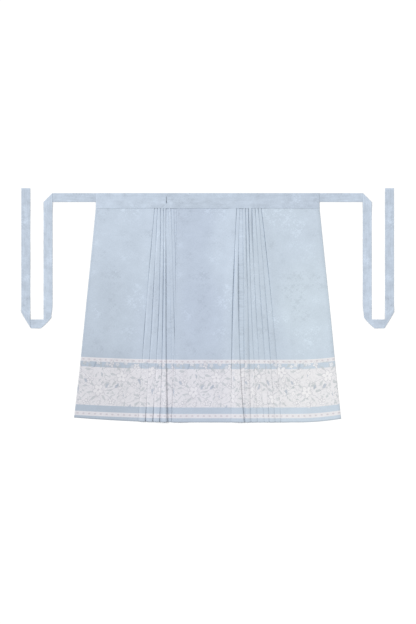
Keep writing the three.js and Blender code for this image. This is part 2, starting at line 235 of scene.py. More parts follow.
def swell(x, y):
    """Height added by all the swells: each is a bell across its lean and a longer bell along it."""
    total = np.zeros_like(x)
    for at_x, at_y, length, width, height, lean in SWELLS:
        turn = math.radians(lean)
        along = (y - at_y) * math.cos(turn) - (x - at_x) * math.sin(turn)
        across = (x - at_x) * math.cos(turn) + (y - at_y) * math.sin(turn)
        total += height * np.exp(-((along / length) ** 2) - (across / width) ** 2)
    return total * np.clip((SEAM_Y - y) / SWELLS_FULL, 0, 1)


# Painted sheen and shade: how much lighter, darker and warmer the satin is painted where it lies, for its
# sheen on the lie of its threads
# Columns: x, y, share of the plain colour, how much warmer it looks
PAINTED_SHEEN = np.array([
    (-420, 350, 1.075, 0.004), (-430, 0, 0.98, 0.004), (-450, -400, 0.84, 0.0),
    (-60, 350, 1.0, -0.012), (-50, 0, 0.985, -0.014), (-50, -400, 0.945, -0.008),
    (350, 350, 1.085, 0.012), (420, 0, 1.13, 0.024), (440, -400, 1.105, 0.018),
    (210, 200, 1.035, 0.012), (240, -200, 1.025, 0.01), (-190, 0, 1.0, -0.004),
    # Painted highlights over the pleats near the waist
    (92, 260, 1.1, 0.0), (-228, 320, 1.085, 0.0), (-286, 230, 1.05, 0.004),
])
TONE_LENGTHWISE = 0.6  # a distance down the skirt counts for this much of one across it
TONE_CORE = 30.0  # within this distance a row of the table holds almost alone


def painted_sheen_at(x, y):
    """Painted sheen: tone and warmth from the table, weighted by one over the fourth power of the distance
    to each row.
    """
    weight = 0
    total = 0
    for at_x, at_y, *values in PAINTED_SHEEN:
        square = (x - at_x) ** 2 + (TONE_LENGTHWISE * (y - at_y)) ** 2 + TONE_CORE**2
        weight = weight + 1 / square**2
        total = total + np.reshape(values, (2, 1, 1)) / square**2
    return total / weight


def half_sheet(parts):
    """The whole grid of a half: x, y, z, and its place on the flat cloth, across it and up from the hem."""
    x = np.concatenate([part[0] for part in parts], axis=1)
    z = np.concatenate([part[1] for part in parts], axis=1)
    keep = np.concatenate([[True], np.hypot(np.diff(x[-1]), np.diff(z[-1])) > 1e-6])
    x, z = x[:, keep], z[:, keep]
    hem = hem_line(x)
    y = np.where(run[:, None] > 0, SEAM_Y + (hem - SEAM_Y) * down[:, None], SEAM_Y - run[:, None])
    across = np.concatenate([[0], np.cumsum(np.hypot(np.diff(x[-1]), np.diff(z[-1])))])
    cloth_x = np.broadcast_to(across, x.shape)
    cloth_y = y - hem + DEEPER_LEFT * sideward(x, *LEFT_RISE[:2])
    turned = HEM_STEP * (run > SKIRT_LENGTH - HEM_TURN - 0.1)
    return x, y, z + (lift + turned)[:, None] + swell(x, y), cloth_x, cloth_y


def put_in_scene(name, data):
    """A new object of that name, at the origin."""
    thing = bpy.data.objects.new(name, data)
    bpy.context.scene.collection.objects.link(thing)
    return thing


def new_piece(name, points, faces, cloth=None, **looks):
    """An object from points in millimetres. cloth is the place of each face corner on the flat cloth, and
    each of the looks is a value at every point."""
    mesh = bpy.data.meshes.new(name)
    mesh.from_pydata((points.reshape(-1, 3) * 0.001).tolist(), [], faces)
    if cloth is not None:
        mesh.uv_layers.new(name="cloth").data.foreach_set("uv", (cloth * 0.001).ravel())
    for look, values in looks.items():
        mesh.attributes.new(look, "FLOAT", "POINT").data.foreach_set("value", values.ravel())
    mesh.shade_smooth()
    return put_in_scene(name, mesh)


def sheet_piece(name, x, y, z, cloth_x, cloth_y, tone, warmth, kept=True):
    """A sheet through a grid of points, its top facing up, given its thickness by a Solidify modifier.
    tone and warmth are the painted sheen and shade of the cloth at each point. kept says which squares of
    the grid have cloth."""
    corner = np.arange(x.size).reshape(x.shape)
    quads = np.stack([corner[:-1, :-1], corner[1:, :-1], corner[1:, 1:], corner[:-1, 1:]], axis=-1)
    quads = quads[np.broadcast_to(kept, quads.shape[:2])]
    cloth = np.stack([cloth_x, cloth_y], axis=-1).reshape(-1, 2)[quads.ravel()]
    points = np.stack([x, y, z], axis=-1)
    piece = new_piece(name, points, quads.tolist(), cloth, tone=tone, warmth=warmth)
    shell = piece.modifiers.new("thickness", "SOLIDIFY")
    shell.thickness = 2 * HALF_CLOTH * 0.001
    shell.offset = 0
    return piece


def new_material(name, values):
    """A material and its shader, with values for the shader's sockets by their names."""
    material = bpy.data.materials.new(name)
    material.use_nodes = True
    shader = material.node_tree.nodes["Principled BSDF"]
    for socket, value in values.items():
        shader.inputs[socket].default_value = value
    return material, shader


def add_node(tree, kind, *inputs, **settings):
    """Adds a node to a material. Its inputs are given in order, as numbers or as outputs of other nodes."""
    node = tree.nodes.new("ShaderNode" + kind)
    for setting, value in settings.items():
        setattr(node, setting, value)
    for socket, value in zip(node.inputs, inputs):
        if isinstance(value, bpy.types.NodeSocket):
            tree.links.new(value, socket)
        elif value is not None:
            socket.default_value = value
    return node


def math_node(tree, operation, *inputs):
    """One step of a formula with numbers."""
    return add_node(tree, "Math", *inputs, operation=operation).outputs[0]


def vector_node(tree, operation, *inputs, output=0):
    """One step of a formula with places or colours."""
    return add_node(tree, "VectorMath", *inputs, operation=operation).outputs[output]


def axes_of(tree, place):
    """The x, y and z of a place."""
    return add_node(tree, "SeparateXYZ", place).outputs


def ramp(tree, value, start, end, low=0.0, high=1.0):
    """low where a value is at its start or before it, high where it is at its end or beyond."""
    return add_node(tree, "MapRange", value, start, end, low, high).outputs[0]


def union(tree, total, share):
    """The greater of two shares, or the second alone where there is no first yet."""
    return math_node(tree, "MAXIMUM", total, share) if total else share


def noise(tree, place, scale, detail, roughness, output="Fac"):
    """Cloudy noise. scale is how many clouds there are to a metre, and detail how often they divide."""
    return add_node(tree, "TexNoise", place, None, scale, detail, roughness).outputs[output]


def blend_colour(tree, share, below, above):
    """Mixes two colours by a share from 0 to 1. The node's inputs 1 to 5 are for other things than colours,
    and so is each output before the third."""
    return add_node(tree, "Mix", share, *[None] * 5, below, above, data_type="RGBA").outputs[2]


# The woven flower spray, about 180 mm wide, drawn once and used in the hem band and in the damask.
# Blossoms: x, y, petals, distance of a petal from the middle, half length and half width of a petal, turn
BLOSSOMS = [
    (-10, 14, 5, 13.0, 11.0, 7.5, 0.3),
    (48, -28, 5, 8.0, 6.5, 4.6, 0.9),
    (-56, -34, 4, 6.5, 5.5, 4.2, 0.5),
]
# Leaves and stems: x, y, turn in degrees, half length, half width
LEAVES = [
    (20, 40, 40, 14, 4.8),
    (36, 16, 8, 12, 4.2),
    (-38, 40, 132, 14, 4.6),
    (-44, 6, 190, 12, 4.2),
    (-26, -18, 222, 13, 4.6),
    (14, -16, -48, 13, 4.6),
    (72, -8, 62, 10, 3.4),
    (30, -50, 196, 11, 3.4),
    (-80, -18, 135, 9, 3.2),
    (-38, -54, -18, 11, 3.4),
    (86, 38, 55, 10, 3.6),
    (-88, 42, -58, 10, 3.6),
]
STEMS = [
    (30, -8, -38, 36, 1.1),
    (-36, -22, 38, 34, 1.1),
    (56, 22, 28, 32, 1.0),
    (-62, 32, -24, 30, 1.0),
    (0, -38, 78, 24, 1.0),
]
BUDS = [
    (64, 34, 62, 11, 4.6),
    (-66, 52, 118, 9, 4.0),
    (4, -62, 84, 9, 3.8),
    (-94, 6, 80, 8, 3.4),
]
# Outline of a petal: distance from the petal's edge at which it ends, and at which it is full
PETAL_LINE = (1.7, 0.5)


def petal_distance(tree, x, y, count, away, length, width):
    """How far outside the nearest petal a point is: 0 at its middle and 1 on its edge. The petals are one
    oval, repeated round the middle by folding the angle."""
    calc = functools.partial(math_node, tree)
    sector = 2 * math.pi / count
    angle = calc("SUBTRACT", calc("FLOORED_MODULO", calc("ARCTAN2", y, x), sector), sector / 2)
    distance = calc("SQRT", calc("MULTIPLY_ADD", x, x, calc("MULTIPLY", y, y)))
    out_x = calc("MULTIPLY", distance, calc("COSINE", angle))
    out_x = calc("DIVIDE", calc("SUBTRACT", out_x, away), length)
    out_y = calc("DIVIDE", calc("MULTIPLY", distance, calc("SINE", angle)), width)
    return calc("SQRT", calc("MULTIPLY_ADD", out_x, out_x, calc("MULTIPLY", out_y, out_y)))


def spray_group():
    """Node group: a point in mm from the spray's middle gives how far it is in a leaf, a petal, a bud and an
    outline."""
    group = bpy.data.node_groups.new("flower_spray", "ShaderNodeTree")
    group.interface.new_socket("Place", in_out="INPUT", socket_type="NodeSocketVector")
    for name in ("Leaf", "Petal", "Bud", "Outline"):
        group.interface.new_socket(name, in_out="OUTPUT", socket_type="NodeSocketFloat")
    place = group.nodes.new("NodeGroupInput").outputs[0]
    out = group.nodes.new("NodeGroupOutput")
    calc = functools.partial(math_node, group)

    def local(x, y, turn, length, width):
        """The point seen from a shape's own middle, turned with it, and 1 at its ends and sides."""
        fit = (place, (x, y, 0), (0, 0, turn), (length, width, 1))
        return add_node(group, "Mapping", *fit, vector_type="TEXTURE").outputs[0]

    def inside(distance, soft):
        """1 where a distance is well under 1, 0 where it is well over 1, and a soft edge between."""
        return ramp(group, distance, 1 + soft, 1 - soft)

    def joined(shape, rows, total=None):
        """The union of the same shape at the places of a table, each joined on as soon as it is made."""
        for x, y, turn, length, width in rows:
            total = union(group, total, shape(local(x, y, math.radians(turn), length, width)))
        return total

    def leaf(spot):
        """Inside where x squared plus the size of y is under 1, which is pointed at both ends."""
        axes = axes_of(group, spot)
        return inside(calc("MULTIPLY_ADD", axes[0], axes[0], calc("ABSOLUTE", axes[1])), soft=0.14)

    def oval(spot):
        """Inside where x squared plus y squared is under 1."""
        return inside(vector_node(group, "DOT_PRODUCT", spot, spot, output="Value"), soft=0.25)

    petals, lines = None, None
    for x, y, count, away, length, width, turn in BLOSSOMS:
        axes = axes_of(group, local(x, y, turn, 1, 1))
        radius = petal_distance(group, axes[0], axes[1], count, away, length, width)
        petals = union(group, petals, inside(radius, soft=0.1))
        off_line = calc("ABSOLUTE", calc("SUBTRACT", radius, 1.0))
        lines = union(group, lines, ramp(group, off_line, PETAL_LINE[0] / width, PETAL_LINE[1] / width))
    group.links.new(petals, out.inputs["Petal"])
    group.links.new(joined(oval, STEMS, lines), out.inputs["Outline"])
    group.links.new(joined(leaf, LEAVES), out.inputs["Leaf"])
    group.links.new(joined(oval, BUDS), out.inputs["Bud"])
    return group


flower_spray = spray_group()


def placed_spray(tree, x, y, repeat, size):
    """The spray repeated across the cloth, its middle at the middle of each repeat and at y = 0."""
    calc = functools.partial(math_node, tree)
    near_x = calc("SUBTRACT", calc("FLOORED_MODULO", x, repeat), repeat / 2)
    near = [calc("MULTIPLY", part, 1 / size) for part in (near_x, y)]
    place = add_node(tree, "CombineXYZ", *near).outputs[0]
    node = add_node(tree, "Group", node_tree=flower_spray)
    tree.links.new(place, node.inputs[0])
    return node.outputs


def cells(tree, place, size):
    """Irregular cells: x and y from the middle of each, turned by an angle of its own, and its chance."""
    voronoi = add_node(tree, "TexVoronoi", place, None, 1 / size, voronoi_dimensions="2D").outputs
    off = vector_node(tree, "SUBTRACT", place, voronoi["Position"])
    chance = axes_of(tree, voronoi["Color"])
    angle = math_node(tree, "MULTIPLY", chance[0], 2 * math.pi)
    turning = (off, (0, 0, 0), (0, 0, 1), angle)
    turned = add_node(tree, "VectorRotate", *turning, rotation_type="Z_AXIS").outputs[0]
    axes = axes_of(tree, turned)
    return axes[0], axes[1], chance[1]


def parity(tree, value, repeat):
    """0 in every even repeat and 1 in every odd one."""
    whole = math_node(tree, "FLOOR", math_node(tree, "DIVIDE", value, repeat))
    return math_node(tree, "FLOORED_MODULO", whole, 2.0)


# Colours of the cloth
BLUE = (0.472, 0.543, 0.638, 1)
WHITE = (0.70, 0.695, 0.735, 1)
PETAL_WHITE = (0.76, 0.755, 0.785, 1)
LEAF_GREY = (0.455, 0.49, 0.52, 1)
BUD_BLUE = (0.31, 0.37, 0.46, 1)
OUTLINE_GREY = (0.44, 0.445, 0.50, 1)
FLORET = (0.53, 0.49, 0.54, 1)

# The white parts of the hem band: distance above the hem at which each begins and ends
WHITE_STRIPES = [(18, 37), (65, 232), (256, 273)]
# The sprays of the floral band, in turn upright and upside down. Columns: shift along the band, distance
# between two of them, size, height of the middle of an upright one and of an upside-down one
BAND_SPRAYS = [(0, 206.0, 1.1, 116, 122), (106, 206.0, 1.1, 204, 210)]
FLORET_PITCH = 25.3
# Small blossoms and leaves between the sprays. Columns: size of a cell, half length, half width
SMALL_BLOSSOMS = (33.0, 4.6, 3.3)
SMALL_LEAVES = [(15.0, 6.0, 2.3), (22.0, 9.0, 3.0)]
# Where such a shape ends and where it is full, as distances from its middle: 1 is its edge
SMALL_LEAF_EDGE = (1.3, 0.7)
BLOSSOM_EDGE = (1.15, 0.9)
BLOSSOM_LINE = (0.4, 0.1)  # the same for its outline, as distances from the line, which is a little outside
BLOSSOM_LINE_AT = 1.1
BLOSSOM_STRENGTHS = ((0.6, PETAL_WHITE), (0.5, OUTLINE_GREY))
# The sprays of the damask. Columns: repeat across, repeat along, shift, size
DAMASK_SPRAYS = [(89.0, 61.0, 20, 0.42), (67.0, 47.0, 5, 0.31)]
# How strongly each part of a spray covers the white of the hem band
BAND_PARTS = [
    ("Petal", PETAL_WHITE, 0.8), ("Outline", OUTLINE_GREY, 0.6),
    ("Leaf", LEAF_GREY, 0.65), ("Bud", BUD_BLUE, 0.6),
]
STRIPE_SOFT = 0.8  # half the width over which the edge of a stripe fades
# Where the sprays fade out, in millimetres above the lower and the upper edge of the broad stripe
SPRAYS_BEGIN = (-4, 3)
SPRAYS_END = (40, 24)
# How the small leaves crowd together: two values of a noise, and how strong the leaves are there
CROWDING = (0.4, 0.58, 0.25, 0.95)
BLOSSOM_CHANCE = (0.15, 0.3)  # a cell has its small blossom where its chance is above these
FLORET_SIZE = (5.5, 3.6)
FLORET_EDGE = (1.2, 0.7, 0.0, 0.75)  # where it ends and where it is full, and how strong it is there
WANDER = 14.0  # a woven figure is never quite even: this times a noise is how far it is from its place
GROUND = 0.96  # lightness of the ground, and how much the finest noise changes it
GRAIN = 0.2
# How much lighter the damask's figure is than the ground: two values of a noise, and the contrast there.
# Seen in soft light it is lighter in some places and darker in others: the woven figure is real, and its
# changing lightness is painted sheen
CONTRAST = (0.38, 0.66, -0.085, 0.125)
SLUBS = (9, 300)  # thick places of the threads: how many to a metre across and along the cloth
SATIN = {"Roughness": 0.5, "Specular IOR Level": 0.4, "Sheen Weight": 0.1, "Sheen Roughness": 0.4}
FIGURE_ROUGHNESS = (0.55, 0.44)  # the damask's figure is a little glossier than its ground: ground, figure


def damask_figure(tree, place):
    """The greatest share of any part of the damask's sprays. Every second row is moved half a repeat."""
    calc = functools.partial(math_node, tree)
    x, y, _ = axes_of(tree, place)
    figure = None
    for across, along, shift, size in DAMASK_SPRAYS:
        stagger = calc("ADD", calc("MULTIPLY_ADD", parity(tree, y, along), across / 2, x), shift)
        near_y = calc("SUBTRACT", calc("FLOORED_MODULO", y, along), along / 2)
        flower = placed_spray(tree, stagger, near_y, across, size)
        for part in ("Leaf", "Petal", "Bud", "Outline"):
            figure = union(tree, figure, flower[part])
    return figure


def floral_band(tree, cloth, place, millimetres):
    """Share of white threads and colour above the hem: white stripes, small leaves and blossoms in cells
    of the broad one, the sprays over them, and a row of florets in each narrow one."""
    calc = functools.partial(math_node, tree)
    x, y, _ = axes_of(tree, place)
    plain_x, plain_y, _ = axes_of(tree, millimetres)
    white = None
    for begin, end in WHITE_STRIPES:
        rise = ramp(tree, plain_y, begin - STRIPE_SOFT, begin + STRIPE_SOFT)
        fall = ramp(tree, plain_y, end + STRIPE_SOFT, end - STRIPE_SOFT)
        white = union(tree, white, calc("MULTIPLY", rise, fall))
    colour = blend_colour(tree, white, BLUE, WHITE)
    bottom, top = WHITE_STRIPES[1]
    rise = ramp(tree, y, *(bottom + above for above in SPRAYS_BEGIN))
    fall = ramp(tree, y, *(top + above for above in SPRAYS_END))
    inside = calc("MULTIPLY", rise, fall)
    crowded = calc("MULTIPLY", ramp(tree, noise(tree, cloth, 12.0, 1.0, 0.5), *CROWDING), inside)
    for size, length, width in SMALL_LEAVES:
        leaf_x, leaf_y, chance = cells(tree, place, size)
        leaf_x = calc("DIVIDE", leaf_x, length)
        leaf_y = calc("DIVIDE", calc("ABSOLUTE", leaf_y), width)
        share = ramp(tree, calc("MULTIPLY_ADD", leaf_x, leaf_x, leaf_y), *SMALL_LEAF_EDGE)
        share = calc("MULTIPLY", share, calc("MULTIPLY", chance, crowded))
        colour = blend_colour(tree, share, colour, LEAF_GREY)
    size, length, width = SMALL_BLOSSOMS
    small_x, small_y, chance = cells(tree, place, size)
    radius = petal_distance(tree, small_x, small_y, 5, length * 1.15, length, width)
    there = calc("MULTIPLY", ramp(tree, chance, *BLOSSOM_CHANCE), inside)
    off_line = calc("ABSOLUTE", calc("SUBTRACT", radius, BLOSSOM_LINE_AT))
    parts = (ramp(tree, radius, *BLOSSOM_EDGE), ramp(tree, off_line, *BLOSSOM_LINE))
    for part, (strength, shade) in zip(parts, BLOSSOM_STRENGTHS):
        share = calc("MULTIPLY", calc("MULTIPLY", part, there), strength)
        colour = blend_colour(tree, share, colour, shade)
    for shift, repeat, size, upright, turned in BAND_SPRAYS:
        moved = calc("ADD", x, shift)
        odd = parity(tree, moved, repeat)
        near_y = calc("SUBTRACT", y, calc("MULTIPLY_ADD", odd, turned - upright, upright))
        near_y = calc("MULTIPLY", near_y, calc("MULTIPLY_ADD", odd, -2.0, 1.0))
        flower = placed_spray(tree, moved, near_y, repeat, size)
        for part, shade, strength in BAND_PARTS:
            share = calc("MULTIPLY", calc("MULTIPLY", flower[part], inside), strength)
            colour = blend_colour(tree, share, colour, shade)
    spot_x = calc("SUBTRACT", calc("FLOORED_MODULO", plain_x, FLORET_PITCH), FLORET_PITCH / 2)
    for begin, end in (WHITE_STRIPES[0], WHITE_STRIPES[2]):
        spot_y = calc("SUBTRACT", plain_y, (begin + end) / 2)
        spot = [calc("DIVIDE", part, size) for part, size in zip((spot_x, spot_y), FLORET_SIZE)]
        spot = add_node(tree, "CombineXYZ", *spot).outputs[0]
        share = ramp(tree, vector_node(tree, "LENGTH", spot, output="Value"), *FLORET_EDGE)
        colour = blend_colour(tree, share, colour, FLORET)
    return white, colour


def satin_damask(name, banded, streaks=(9, 150, 0.03), mottled=(14, 0.16)):
    """Satin with a tone-on-tone figure. A banded one also has the white floral band woven in above the hem.
    streaks is how many there are to a metre across and along the cloth, and how strong they are. mottled is
    how many uneven spots there are to a metre, and how strong they are."""
    material, shader = new_material(name, SATIN)
    tree = material.node_tree
    calc = functools.partial(math_node, tree)
    cloth = add_node(tree, "UVMap", uv_map="cloth").outputs[0]

    def scaled_place(across, along):
        """The cloth's own place, counted in a number of units to a metre."""
        return add_node(tree, "Mapping", cloth, (0, 0, 0), (0, 0, 0), (across, along, 1)).outputs[0]

    def varied(lightness, pattern, strength):
        """A lightness changed by a pattern that goes from 0 to 1, half of it up and half down."""
        return calc("MULTIPLY_ADD", calc("SUBTRACT", pattern, 0.5), strength, lightness)

    wander = noise(tree, cloth, 45.0, 2.0, 0.6, "Color")
    centred = vector_node(tree, "SUBTRACT", wander, (0.5, 0.5, 0.5))
    millimetres = vector_node(tree, "MULTIPLY", cloth, (1000, 1000, 0))
    place = vector_node(tree, "MULTIPLY_ADD", centred, (WANDER, WANDER, 0), millimetres)
    # tone and warmth are painted sheen and shade: the colour is painted lighter, darker and warmer with them
    tone = add_node(tree, "Attribute", attribute_name="tone").outputs["Fac"]
    if banded:
        white, colour = floral_band(tree, cloth, place, millimetres)
        figure, lightness = None, GROUND
        # The painted sheen and shade is only half as strong on the white threads
        off_plain = calc("MULTIPLY", calc("SUBTRACT", 1.0, tone), white)
        tone = calc("MULTIPLY_ADD", off_plain, 0.5, tone)
    else:
        figure, colour = damask_figure(tree, place), BLUE[:3]
        contrast = ramp(tree, noise(tree, cloth, 6.0, 2.0, 0.5), *CONTRAST)
        lightness = calc("MULTIPLY_ADD", figure, contrast, GROUND)
    lightness = varied(lightness, noise(tree, cloth, 170.0, 2.0, 0.7), GRAIN)
    lightness = varied(lightness, noise(tree, scaled_place(*streaks[:2]), 1.0, 3.0, 0.6), streaks[2])
    lightness = varied(lightness, noise(tree, cloth, mottled[0], 4.0, 0.6), mottled[1])
    lightness = calc("MULTIPLY", lightness, tone)
    warmth = add_node(tree, "Attribute", attribute_name="warmth").outputs["Fac"]
    warm, cool = calc("ADD", 1.0, warmth), calc("SUBTRACT", 1.0, warmth)
    tint = add_node(tree, "CombineXYZ", warm, warm, cool).outputs[0]
    tint = vector_node(tree, "SCALE", tint, None, None, lightness)
    tree.links.new(vector_node(tree, "MULTIPLY", colour, tint), shader.inputs["Base Color"])

    if figure:
        tree.links.new(ramp(tree, figure, 0.0, 1.0, *FIGURE_ROUGHNESS), shader.inputs["Roughness"])

    # Slubs and soft crumpling run over ground and figure
    slubs = noise(tree, scaled_place(*SLUBS), 3.0, 2.0, 0.5)
    crumple = noise(tree, cloth, 24.0, 3.0, 0.5)
    normal = None
    for height, strength, distance in ((crumple, 0.5, 0.002), (slubs, 0.2, 0.0001)):
        bump = add_node(tree, "Bump")
        bump.inputs["Strength"].default_value = strength
        bump.inputs["Distance"].default_value = distance
        tree.links.new(height, bump.inputs["Height"])
        if normal:
            tree.links.new(normal, bump.inputs["Normal"])
        normal = bump.outputs[0]
    tree.links.new(normal, shader.inputs["Normal"])
    return material


skirt_satin = satin_damask("skirt_satin", banded=False)
hem_satin = satin_damask("hem_satin", banded=True)
BAND_CLOTH_TOP = WHITE_STRIPES[2][1] + 18  # height up to which a half has the banded material


def band_hem(piece, sheet):
    """Gives a half its two materials: the banded one from the hem to a little above the woven band."""
    height = (sheet[4][1:, 1:] + sheet[4][:-1, :-1]) / 2
    banded = (height < BAND_CLOTH_TOP).ravel().astype(np.int32)
    piece.data.materials.append(skirt_satin)
    piece.data.materials.append(hem_satin)
    piece.data.polygons.foreach_set("material_index", banded)


def level_between(before, after, count):
    """The lowest layer from the end of one part to the start of the next, its points evenly spaced."""
    return level(before[0][:, -1], after[0][:, 0], LOW, count)


left_hem = hemmed_edge(edge_line(*LEFT_EDGE), 1)
outer_pleats = knife_pleats(LEFT_PLEATS_RIGHTWARD, 1, LOW)
hidden_pleats = knife_pleats(LEFT_PLEATS_LEFTWARD, -1, LOW)
under_start = hidden_pleats[-1][0][:, -1]
left_parts = [
    left_hem, level_between(left_hem, outer_pleats[0], 26), *outer_pleats,
    level_between(outer_pleats[-1], hidden_pleats[0], 5), *hidden_pleats,
    level(under_start, edge_line(*UNDER_EDGE), LOW, 18),
]
left_sheet = half_sheet(left_parts)
left_half = sheet_piece("left_half_cloth", *left_sheet, *painted_sheen_at(*left_sheet[:2]))
band_hem(left_half, left_sheet)

# Its sewing: lockstitch in pale blue thread along the turned edges. The stitches dip into the cloth at
# both ends
THREAD = 0.2  # radius
THREAD_COLOUR = (0.42, 0.50, 0.60, 1)
STITCH_PITCH = 3.6
STITCH_FILL = 0.72  # share of the pitch that a stitch takes up
# Rings of a stitch: share of its length, and radius and rise as shares of the thread's radius
STITCH_RINGS = ((0.14, 0.8, -0.2), (0.5, 1.0, 0.15), (0.86, 0.8, -0.2))
STITCH_DIP = 0.7  # how deep both its ends go, as a share of the thread's radius


def stitches(start, end):
    """Many stitches in one mesh. Each is a spindle of 3 rings of 6 points between two poles, from start to
    end, whose radius and height are highest in the middle."""
    tangent = end - start
    length = np.linalg.norm(tangent, axis=1, keepdims=True)
    tangent = tangent / length
    up = np.where(np.abs(tangent[:, 2:]) < 0.8, [[0.0, 0.0, 1.0]], [[0.0, 1.0, 0.0]])
    sideways = np.cross(up, tangent)
    sideways /= np.linalg.norm(sideways, axis=1, keepdims=True)
    up = np.cross(tangent, sideways)
    points = [start - up * THREAD * STITCH_DIP]
    for share, width, rise in STITCH_RINGS:
        middle = start + tangent * length * share + up * THREAD * rise
        for angle in np.arange(6) * math.pi / 3:
            points.append(middle + THREAD * width * (math.cos(angle) * sideways + math.sin(angle) * up))
    points.append(end - up * THREAD * STITCH_DIP)
    # Triangles at the poles are written as quads that end where they begin
    one = [[0, 1 + (i + 1) % 6, 1 + i, 0] for i in range(6)]
    for ring in (1, 7):
        one += [[ring + i, ring + (i + 1) % 6, ring + 6 + (i + 1) % 6, ring + 6 + i] for i in range(6)]
    one += [[19, 13 + i, 13 + (i + 1) % 6, 19] for i in range(6)]
    return np.stack(points, axis=1), np.array(one)


def running(path):
    """Starts and ends of the stitches of a seam, evenly spaced along a path of points."""
    walked = np.concatenate([[0], np.cumsum(np.linalg.norm(np.diff(path, axis=0), axis=1))])
    count = int(walked[-1] / STITCH_PITCH)
    start = (np.arange(count) + 0.5 * (1 - STITCH_FILL)) * walked[-1] / count
    at = np.stack([start, start + STITCH_FILL * walked[-1] / count])
    return np.stack([np.interp(at, walked, path[:, i]) for i in range(3)], axis=-1)


def sewing_piece(name, seams):
    """One piece from all the stitches of some seams."""
    points, one = stitches(*np.concatenate([np.asarray(seam) for seam in seams], axis=1))
    shift = np.arange(len(points))[:, None, None] * points.shape[1]
    corners = (one + shift).reshape(-1, 4)
    is_tri = corners[:, 0] == corners[:, 3]
    piece = new_piece(name, points, corners[is_tri][:, :3].tolist() + corners[~is_tri].tolist())
    piece.data.materials.append(thread)
    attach(piece, "root")
    return piece


thread, _ = new_material("thread", {"Base Color": THREAD_COLOUR, "Roughness": 0.5})


def above_row(sheet, row):
    """The path on the front of the cloth along one row of a sheet's grid, square to its slope there."""
    x, y, z = (part[row] for part in sheet[:3])
    d_x, d_z = np.gradient(x), np.gradient(z)
    size = np.hypot(d_x, d_z)
    return np.stack([x - d_z / size * HALF_CLOTH, y, z + d_x / size * HALF_CLOTH], axis=1)


def above_column(sheet, column):
    """The path on the front of the cloth down one column, from row 5 below the waistband to the hem."""
    x, y, z = (part[5:, column] for part in sheet[:3])
    return np.stack([x, y, z + HALF_CLOTH], axis=1)


hem_row = int(np.argmin(np.abs(run - (SKIRT_LENGTH - HEM_TURN))))
left_seams = [running(above_row(left_sheet, hem_row)), running(above_column(left_sheet, 2))]
left_sewing = sewing_piece("left_half_sewing", left_seams)


def lay_down(piece, node):
    """Hides the part of model.glb that the piece stands for, and attaches the piece to the root."""
    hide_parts(node)
    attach(piece, "root")


lay_down(left_half, "left_half")


# Right half of the skirt
# The other length of the same cloth. Its flat centre panel lies over the left half's last pleats with a
# free, hemmed edge, and its two groups of pleats turn their edges to each other. Sewn into the waistband.

CENTRE_EDGE = (-134.4, -155.3, 2.6, 0.3)
RIGHT_EDGE = (487.3, 580.6, 0.6, 0.55)
RIGHT_PLEATS_RIGHTWARD = [
    (126.1, 102.2, -7.0, 0.1, (0.9, 0.9, 0.5, 0.5, 1.5, 1.5, 1.5, 1.3, 1.0, 0.6, 0.2, 0.1, 0.2)),
    (139.6, 158.5, -15.0, 0.45, (0.4, 0.3, 0.3, 0.7, 2.0, 2.1, 1.8, 1.0, 0.6, 1.0, 1.5, 1.8, 2.0)),
]
RIGHT_PLEATS_LEFTWARD = [
    (153.2, 163.5, 0.0, 0.75, (0.6, 0.5, 0.7, 1.0, 0.8, 0.4, 0.4, 1.0, 1.4, 1.2, 0.9, 0.9, 1.0)),
    (165.8, 190.2, 0.0, 0.3, (0.5, 0.6, 0.6, 0.5, 0.4, 0.2, 0.2, 0.3, 0.1, 0.1, 0.1, 0.4, 0.5)),
    (179.3, 218.5, -6.0, 0.9, (0.9, 1.7, 1.6, 0.8, 0.2, 0.1, 0.3, 0.3, 0.1, 0.1, 0.1, 0.2, 0.4)),
    (194.1, 247.7, -8.0, 0.55, (0.4, 0.4, 0.2, 0.1, 0.1, 0.4, 0.5, 0.2, 0.2, 0.1, 0.1, 0.2, 0.3)),
    (208.0, 269.9, -2.0, 0.0, (0.7, 0.2, 0.2, 0.2, 0.1, 0.4, 0.5, 0.5, 0.2, 0.1, 0.2, 0.5, 0.7)),
    (221.6, 294.7, 2.0, 0.65, (0.6, 0.2, 0.1, 0.1, 0.1, 0.3, 0.4, 0.6, 0.6, 0.3, 0.1, 0.2, 0.3)),
    (234.6, 320.9, 7.0, 0.25, (0.4, 0.9, 1.2, 1.2, 1.0, 0.6, 0.2, 0.1, 0.2, 0.1, 0.1, 0.2, 0.4)),
]
# Height of the centre panel over the hidden pleats, which stand open at the hem. Columns: share of the way
# down, height
OVER = np.array([(0, 2.9), (0.7, 2.9), (0.9, 4.2), (1, 5.4)])
# Painted shade: the right edge is painted a little darker beside its turn: by how much, how far from the
# edge, and how softly
EDGE_PAINTED_SHADE = 0.06
SHADE_WIDTH = 16.0
SHADE_FADE = 8.0

free_edge = edge_line(*CENTRE_EDGE)
centre_pleats = knife_pleats(RIGHT_PLEATS_RIGHTWARD, 1, MIDDLE)
facing_pleats = knife_pleats(RIGHT_PLEATS_LEFTWARD, -1, LOW)
hem_x, hem_z = hemmed_edge(free_edge, 1)
centre_x, _ = level(free_edge + SIDE_STRIP, centre_pleats[0][0][:, 0], LOW, 44)
centre_x = np.concatenate([hem_x, centre_x], axis=1)
